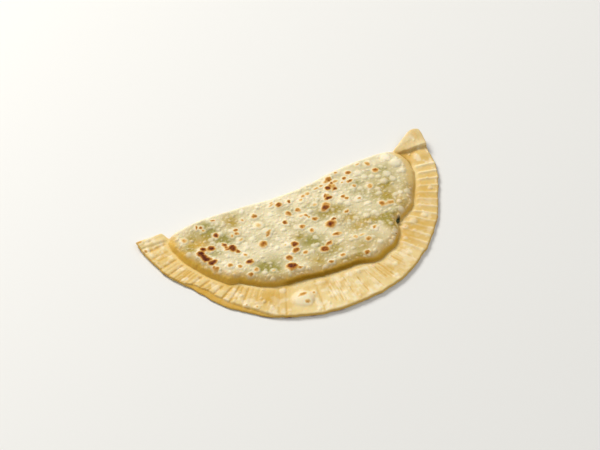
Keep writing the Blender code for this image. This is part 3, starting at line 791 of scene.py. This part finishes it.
def skin_heights(radius, bearing):
    """Place the points and give both heights, and the fields that the colours need."""
    x, y = spread_out(radius, bearing)
    foot = foot_radius(bearing)
    rim = rim_radius(bearing)
    inside = foot - radius
    step_share = at_marks(STEP_MARKS, bearing)
    roll = 0.2 * smooth(inside, 0.0, 2.5) + 0.8 * smooth(inside / along_border(ROLL_WIDTHS, bearing), 0.0, 1.0)
    raised = step_share * round_edge(inside, at_marks(STEP_WIDTHS, bearing)) + (1.0 - step_share) * roll
    crown = DOME_CROWN * smooth(inside, 0.0, 35.0) + SKIN_LET_DOWN
    full = POCKET_HEIGHT - crown + undulation(x, y) * smooth(inside, 0.0, 12.0) + swellings(x, y)
    border = np.clip(radius - foot, 0.0, None) / (rim - foot)
    lift = along_border(RIM_LIFTS, bearing) * border**1.6
    arch, lean = ear_arch(x, y)
    on_border = smooth(radius - foot, -2.0, 3.0)
    arch = arch * on_border
    hollow = smooth(x - EAR_APEX[0], EAR_HOLLOW_FROM, EAR_HOLLOW_FROM + 8.0)
    green, oil_and_painted_light = zone_fields(x, y)
    held = smooth(radius - foot, MARKS_START, MARKS_START + MARKS_RUN) * (1.0 - smooth(arch, 0.0, 1.5))
    marks = fork_marks(radius, bearing) * held * (1.0 - 0.75 * oil_and_painted_light)
    dip = FOOT_DIP * (1.0 + 0.8 * smooth(bearing, 166.0, 174.0))
    pressed = BORDER_THICK - dip * np.exp(-(((radius - foot) / FOOT_DIP_REACH) ** 2)) + marks
    pressed = pressed + swellings(x, y) * (1.0 - raised)
    ledge_width = at_marks(LEDGE_WIDTHS, bearing) * (1.0 + 0.2 * wander(bearing, 6.0, 27))
    ledge = (1.0 - smooth(rim - radius - ledge_width, -0.4, 0.5)) * smooth(ledge_width, 0.2, 1.6)
    pressed = pressed - (LEDGE_DROP + marks) * ledge
    upper = lift + arch + pressed + (full - pressed) * raised
    lower = lift * LIFT_BELOW + arch * hollow
    to_back = np.clip(back_line(x) - y, 0.0, None)
    brown, ring, puff = scorch_fields(x, y)
    bubble_height, bubble_top = bubble_fields(x, y, bubbles)
    calm = smooth(bearing, CALM_FROM, CALM_FROM + 6.0) * (1.0 - smooth(inside, 4.0, 8.0))
    on_dome = smooth(inside, 0.3, 2.5) * smooth(to_back, 1.0, 3.5) * (1.0 - calm)
    sparse = smooth(-inside, 1.5, 3.5) * smooth(rim - radius, 0.5, 2.0)
    amount = np.maximum(on_dome, sparse)
    clear_of_wall = np.maximum(smooth(inside, 1.0, 4.0), smooth(-inside, 1.0, 3.0))
    ring = ring * clear_of_wall
    fine = np.maximum(bubble_height * amount, puff * smooth(to_back, 0.5, 2.5) * clear_of_wall)
    creases = 0.3 * (0.4 - np.abs(rough_hills(x, y, 6.0, 131, 2))) * smooth(inside, 2.0, 6.0)
    grain = creases + 0.16 * rough_hills(x, y, 3.2, 81) + 0.07 * hills(x, y, 0.9, 85)
    upper = upper + fine + grain * np.maximum(on_dome, 0.9 * sparse)
    tear_x, tear_y = (-TEAR_SHOWN[1] * f(math.radians(TEAR_SHOWN[0])) for f in (math.cos, math.sin))
    torn = in_ellipse(x, y, tear_x, tear_y, *TEAR_OPEN, TEAR_SHOWN[0] - 90.0)
    torn = 1.0 - smooth(torn + 0.15 * hills(x, y, 1.2, 89), 0.7, 1.05)
    upper = upper + (np.minimum(TEAR_FLOOR, upper) - upper) * torn
    # painted glow: a golden tint over the dome's lowest few millimetres, for light through the thin skin there
    edge_glow = EDGE_GLOW * smooth(inside, -0.5, 0.5) * (1.0 - smooth(inside, 2.0, 8.0))
    golden_patches = 0.45 * sparse * smooth(rough_hills(x, y, 7.0, 111), 0.0, 0.5)
    dusty = smooth(rough_hills(x, y, 4.5, 121), 0.0, 0.5) * smooth(radius - foot, 2.0, 5.0)
    pale_blister = 1.0 - smooth(in_ellipse(x, y, *PALE_BLISTER, 0.0), 0.75, 1.1)
    middle = (upper + lower) / 2.0
    half = (upper - lower) / 2.0
    shut = round_edge(to_back, half) * round_edge(rim - radius, RIM_ROUND)
    fields = {
        "scorch": brown,
        "ring": ring,
        "bubble": bubble_top * np.maximum(on_dome, 0.85 * sparse),
        "green": np.clip(green + 0.14 * (1.0 - bubble_top), 0.0, 1.0) * smooth(inside, 0.0, 4.0),
        # oil, together with the painted glow over the dome's edge and the painted shade in the hollow under the ear
        "oil_and_painted_light": np.maximum.reduce((oil_and_painted_light, edge_glow, golden_patches)),
        "dusty": sparse * np.maximum(dusty * (1.0 - 0.8 * oil_and_painted_light), 0.5 * pale_blister),
        "torn": torn,
        "dome": np.maximum(smooth(inside, -0.5, 1.0), 0.35 * smooth(arch, 0.5, 3.0)),
        "edge": (1.0 - smooth(to_back, 1.0, 4.5)) * smooth(inside, -1.0, 2.0),
        # painted shade in the fork grooves and painted highlight on the crests between them
        "rib_shade_and_highlight": np.clip(marks / 0.45, -1.0, 1.0),
        # painted glow on the rim's side face and on the lower layer's ledge, for light through the thin edge that faces
        # away from the lamp
        "rim_edge_glow": np.maximum(1.0 - smooth(rim - radius, 0.1, 0.8), ledge),
        "calm": calm * smooth(inside, -0.5, 1.0),
    }
    return x, y - lean * on_border * shut, y, middle + half * shut, middle - half * shut, fields


x, top_y, y, top, bottom, fields = skin_heights(radius, bearing)
y = np.where(side > 0, top_y, y)
z = np.where(side > 0, top, np.where(side < 0, bottom, (top + bottom) / 2.0))
ROUND_TO_FRAME = (-1.45, 50.76)  # from the centre of the dough round to the middle of the footprint
shift_x, shift_y = ROUND_TO_FRAME
print("middle of the skin", (x.min() + x.max()) / 2.0, (y.min() + y.max()) / 2.0, "height", z.max())
away_from_edges = (rim_radius(bearing) - radius > 3.0) & (back_line(x) - y > 3.0)
print("thinnest place", (top - bottom)[away_from_edges].min())

# %% Camera and its aim
camera = make_camera(shift_x, shift_y)

# %% Fields for the colours
# Painted light at the dome's foot: the wall tint is a painted golden glow of light shining through the thin, steep
# wall, with oil pooled at its foot. The deeper tint is painted shade where the wall faces away from the lamp and in the
# crease beside the ear.
GLOW_MARKS = (
    # bearing, strength of the painted glow, reach up the wall, reach over the border, depth of the painted shade
    (0.0, 0.35, 2.6, 2.0, 0.0), (8.0, 0.7, 3.0, 2.4, 0.0), (15.0, 0.9, 3.2, 2.6, 0.0), (40.0, 0.9, 3.2, 2.6, 0.1),
    (44.0, 0.95, 2.4, 0.8, 0.3), (61.0, 0.9, 2.2, 0.7, 0.4), (65.0, 1.0, 1.9, 0.6, 1.0), (98.0, 1.0, 2.0, 0.6, 1.0),
    (104.0, 1.0, 2.4, 0.8, 0.5), (120.0, 1.0, 2.0, 0.8, 0.3), (124.0, 0.4, 1.2, 0.8, 0.2), (132.0, 0.6, 1.4, 0.8, 0.2),
    (142.0, 0.8, 2.0, 1.4, 0.1), (145.0, 0.25, 1.4, 1.2, 0.1), (151.0, 0.7, 1.4, 1.2, 0.1), (156.0, 0.6, 1.2, 1.0, 0.1),
    (159.0, 0.1, 1.2, 1.0, 0.0), (166.0, 0.15, 1.0, 1.0, 0.0), (169.0, 1.0, 0.9, 3.0, 1.0), (177.0, 1.0, 0.8, 3.0, 1.0),
    (180.0, 0.3, 0.8, 1.0, 0.1),
)

marks = list(zip(*GLOW_MARKS))
strength, reach, spill, painted_wall_shade = (np.interp(bearing, marks[0], values) for values in marks[1:])
inside = foot_radius(bearing) - radius
reach = reach * (1.0 + 0.25 * wander(bearing, 4.0, 29))
# painted golden glow of light through the thin wall, with oil at its foot
wall = strength * smooth(inside / spill, -1.0, 0.4) * (1.0 - smooth(inside / reach, 0.5, 1.3))
fields["wall"] = wall
# painted shade low on the wall, where it faces away from the lamp
fields["painted_wall_shade"] = painted_wall_shade * wall * (1.0 - smooth(inside, 0.3, 1.5))
for key in fields:
    fields[key] = np.where(side < 0, 0.0, fields[key]) if key != "rim_edge_glow" else fields[key]
    print(key, round(float(fields[key].min()), 2), round(float(fields[key].max()), 2))
fields["under"] = np.where(side < 0, 1.0, 0.0)

# %% Build the dough mesh
def build_mesh(name, points, faces, attributes):
    """Mesh with one number per point for each attribute."""
    mesh = bpy.data.meshes.new(name)
    mesh.from_pydata(points.tolist(), [], faces)
    for key, values in attributes.items():
        layer = mesh.attributes.new(key, "FLOAT", "POINT")
        layer.data.foreach_set("value", np.ascontiguousarray(values, dtype=np.float32))
    mesh.shade_smooth()
    mesh.update()
    return mesh


points = np.column_stack((x + shift_x, y + shift_y, z)) * MM
mesh = build_mesh("dough_skin", points, faces, fields)
dough = bpy.data.objects.new("dough_skin", mesh)
bpy.context.scene.collection.objects.link(dough)
print("dough", len(mesh.vertices), len(mesh.polygons))

# %% [markdown]
# ## The dough's material
# Baked wheat dough is a dull dielectric (IOR about 1.45) that light enters: thin dough glows golden
# where light comes through from behind. So the shader is a Principled one with subsurface
# scattering. Its base colour starts from the dry skin and is tinted step by step: painted shade in
# the fork grooves and painted highlight on their crests, greens from below, oil with a painted glow
# over the dome's edge and painted shade under the ear, pale bubbles, the dome's wall with a painted
# glow of light through it, oil at its foot and painted shade low down, a painted glow on the rim's
# side face, and last the scorch marks through a colour ramp. The underside lay on the iron, so it
# has brown spots of its own, about nine millimetres apart.

# %% Dough material
DRY_SKIN = "#F6E8C4"
BORDER_SKIN = "#EAD296"
PALE_BUBBLE = "#FCF2D6"
OVER_GREENS = "#9C9046"
OIL_AND_LIGHT_TINT = "#D0A238"
CALM_ROLL = "#E8C880"
WALL_GLOW_AND_OIL = "#DDAF3A"
PAINTED_WALL_SHADE = "#987008"
RIM_EDGE_GLOW = "#CEA038"
GROOVE_SHADE = "#D4A84C"
TORN_EDGE = "#2A2E12"
UNDERSIDE = "#E6CE9A"
UNDERSIDE_SPOT = "#8F4B14"
SCORCH_STOPS = (
    (0.0, "#F2DDA8"),
    (0.22, "#E6C07C"),
    (0.45, "#C48A38"),
    (0.7, "#925014"),
    (1.0, "#561C06"),
)
PORE_SIZE = 0.9
SPOT_SPACING = 9.0


def baked_dough():
    material = bpy.data.materials.new("baked_wheat_dough")
    material.use_nodes = True
    tree = material.node_tree
    shader = tree.nodes["Principled BSDF"]

    def value(name):
        return add_node(tree, "ShaderNodeAttribute", {"attribute_name": name}).outputs["Fac"]

    def times(first, second):
        node = add_node(tree, "ShaderNodeMath", {"operation": "MULTIPLY", "use_clamp": True})
        for socket, source in zip(node.inputs, (first, second)):
            if isinstance(source, float):
                socket.default_value = source
            else:
                tree.links.new(source, socket)
        return node.outputs[0]

    def between(source, start, end, low=0.0, high=1.0):
        settings = {1: start, 2: end, 3: low, 4: high}
        return add_node(tree, "ShaderNodeMapRange", settings, {0: source}).outputs[0]

    def tint(base, colour, amount):
        node = add_node(tree, "ShaderNodeMix", {"data_type": "RGBA"}, {"Factor": amount})
        for socket, source in ((node.inputs[6], base), (node.inputs[7], colour)):
            if isinstance(source, str):
                socket.default_value = linear(source)
            else:
                tree.links.new(source, socket)
        return node.outputs[2]

    coords = add_node(tree, "ShaderNodeTexCoord").outputs["Object"]

    def noise(size, detail=3.0):
        settings = {"Scale": 1.0 / (size * MM), "Detail": detail}
        return add_node(tree, "ShaderNodeTexNoise", settings, {"Vector": coords}).outputs["Fac"]

    colour = tint(BORDER_SKIN, DRY_SKIN, value("dome"))
    # painted shade in the fork grooves
    colour = tint(colour, GROOVE_SHADE, times(value("rib_shade_and_highlight"), -0.8))
    colour = tint(colour, OVER_GREENS, times(value("green"), 1.0))
    # oil, with painted glow over the dome's edge and painted shade in the hollow under the ear
    colour = tint(colour, OIL_AND_LIGHT_TINT, times(value("oil_and_painted_light"), 0.85))
    colour = tint(colour, PALE_BUBBLE, times(value("dusty"), 0.5))
    # painted highlight on the crests of the fork marks
    colour = tint(colour, PALE_BUBBLE, times(value("rib_shade_and_highlight"), 0.3))
    colour = tint(colour, PALE_BUBBLE, times(value("bubble"), 0.65))
    colour = tint(colour, CALM_ROLL, times(value("calm"), 0.9))
    colour = tint(colour, PALE_BUBBLE, times(value("edge"), 0.7))
    # painted glow of light through the dome's wall, with oil at its foot
    colour = tint(colour, WALL_GLOW_AND_OIL, times(value("wall"), 0.95))
    # painted shade at the wall's foot and in the crease beside the ear
    colour = tint(colour, PAINTED_WALL_SHADE, times(value("painted_wall_shade"), 0.9))
    colour = tint(colour, PALE_BUBBLE, times(value("ring"), 0.5))
    # painted glow on the rim's side face and ledge
    colour = tint(colour, RIM_EDGE_GLOW, times(value("rim_edge_glow"), 0.85))
    colour = tint(colour, TORN_EDGE, value("torn"))
    ramp = add_node(tree, "ShaderNodeValToRGB", None, {0: value("scorch")})
    stops = ramp.color_ramp.elements
    while len(stops) < len(SCORCH_STOPS):
        stops.new(0.5)
    for stop, (place, hex_colour) in zip(stops, SCORCH_STOPS):
        stop.position = place
        stop.color = linear(hex_colour)
    colour = tint(colour, ramp.outputs[0], between(value("scorch"), 0.03, 0.22))
    spot_settings = {"Scale": 1.0 / (SPOT_SPACING * MM)}
    spots = add_node(tree, "ShaderNodeTexVoronoi", spot_settings, {"Vector": coords}).outputs["Distance"]
    spotted = times(between(spots, 0.45, 0.2), between(noise(6.0), 0.42, 0.6))
    underside = tint(UNDERSIDE, UNDERSIDE_SPOT, spotted)
    colour = tint(colour, underside, value("under"))
    tree.links.new(colour, shader.inputs["Base Color"])
    tree.links.new(between(value("oil_and_painted_light"), 0.0, 1.0, 0.55, 0.33), shader.inputs["Roughness"])
    shader.inputs["IOR"].default_value = 1.45
    shader.inputs["Specular IOR Level"].default_value = 0.18
    shader.inputs["Subsurface Weight"].default_value = 0.25
    shader.inputs["Subsurface Radius"].default_value = (1.0, 0.6, 0.25)
    shader.inputs["Subsurface Scale"].default_value = 0.0015
    bump = add_node(tree, "ShaderNodeBump", {"Strength": 0.4, "Distance": 0.00018}, {"Height": noise(PORE_SIZE, 4.0)})
    tree.links.new(bump.outputs[0], shader.inputs["Normal"])
    return material


mesh.materials.append(baked_dough())
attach(dough, "root")
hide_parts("dough")

# %% Leaf
leaf_material = bpy.data.materials.new("wilted_herb_leaf")
leaf_material.use_nodes = True
leaf_shader = leaf_material.node_tree.nodes["Principled BSDF"]
leaf_shader.inputs["Base Color"].default_value = linear("#2E3312")
leaf_shader.inputs["Roughness"].default_value = 0.6
leaf_shader.inputs["Specular IOR Level"].default_value = 0.15
greens = next(o for o in bpy.context.scene.objects if o.name.startswith("greens"))
greens.data.materials.clear()
greens.data.materials.append(leaf_material)

# %% [markdown]
# ## Table and light
# A pale matt table, a large soft key from the upper left behind the bread, and a bright even room.

# %% Floor and lights
FLOOR_HALF = 3.0
KEY_AZIMUTH = -166.0
KEY_ELEVATION = 42.0
KEY_DISTANCE = 2.2
KEY_SIZE = 1.0
KEY_POWER = 43.0


def make_floor():
    bm = bmesh.new()
    bmesh.ops.create_grid(bm, x_segments=1, y_segments=1, size=FLOOR_HALF)
    floor_mesh = bpy.data.meshes.new("table_top")
    bm.to_mesh(floor_mesh)
    bm.free()
    floor = bpy.data.objects.new("table_top", floor_mesh)
    bpy.context.scene.collection.objects.link(floor)
    material = bpy.data.materials.new("white_painted_board")
    material.use_nodes = True
    shader = material.node_tree.nodes["Principled BSDF"]
    shader.inputs["Base Color"].default_value = linear("#E9E8E4")
    shader.inputs["Roughness"].default_value = 0.6
    floor_mesh.materials.append(material)
    return floor


def make_area_light(name, azimuth, elevation, distance, size, power, hex_colour):
    """Round soft lamp that looks at the middle of the table."""
    data = bpy.data.lights.new(name, "AREA")
    data.shape = "DISK"
    data.size = size
    data.energy = power
    data.color = linear(hex_colour)[:3]
    lamp = bpy.data.objects.new(name, data)
    point_at(lamp, direction(azimuth, elevation) * distance, Vector((0.0, 0.0, 0.0)))
    return lamp


make_floor()
make_area_light("window", KEY_AZIMUTH, KEY_ELEVATION, KEY_DISTANCE, KEY_SIZE, KEY_POWER, "#FFFCF6")
make_area_light("ceiling", 30.0, 60.0, 2.4, 2.0, 13.0, "#FFFFFF")
world = bpy.data.worlds.new("bright_room")
world.use_nodes = True
world.node_tree.nodes["Background"].inputs[0].default_value = linear("#F2F5FA")
world.node_tree.nodes["Background"].inputs[1].default_value = 0.34
bpy.context.scene.world = world
bpy.context.scene.view_settings.view_transform = "Standard"
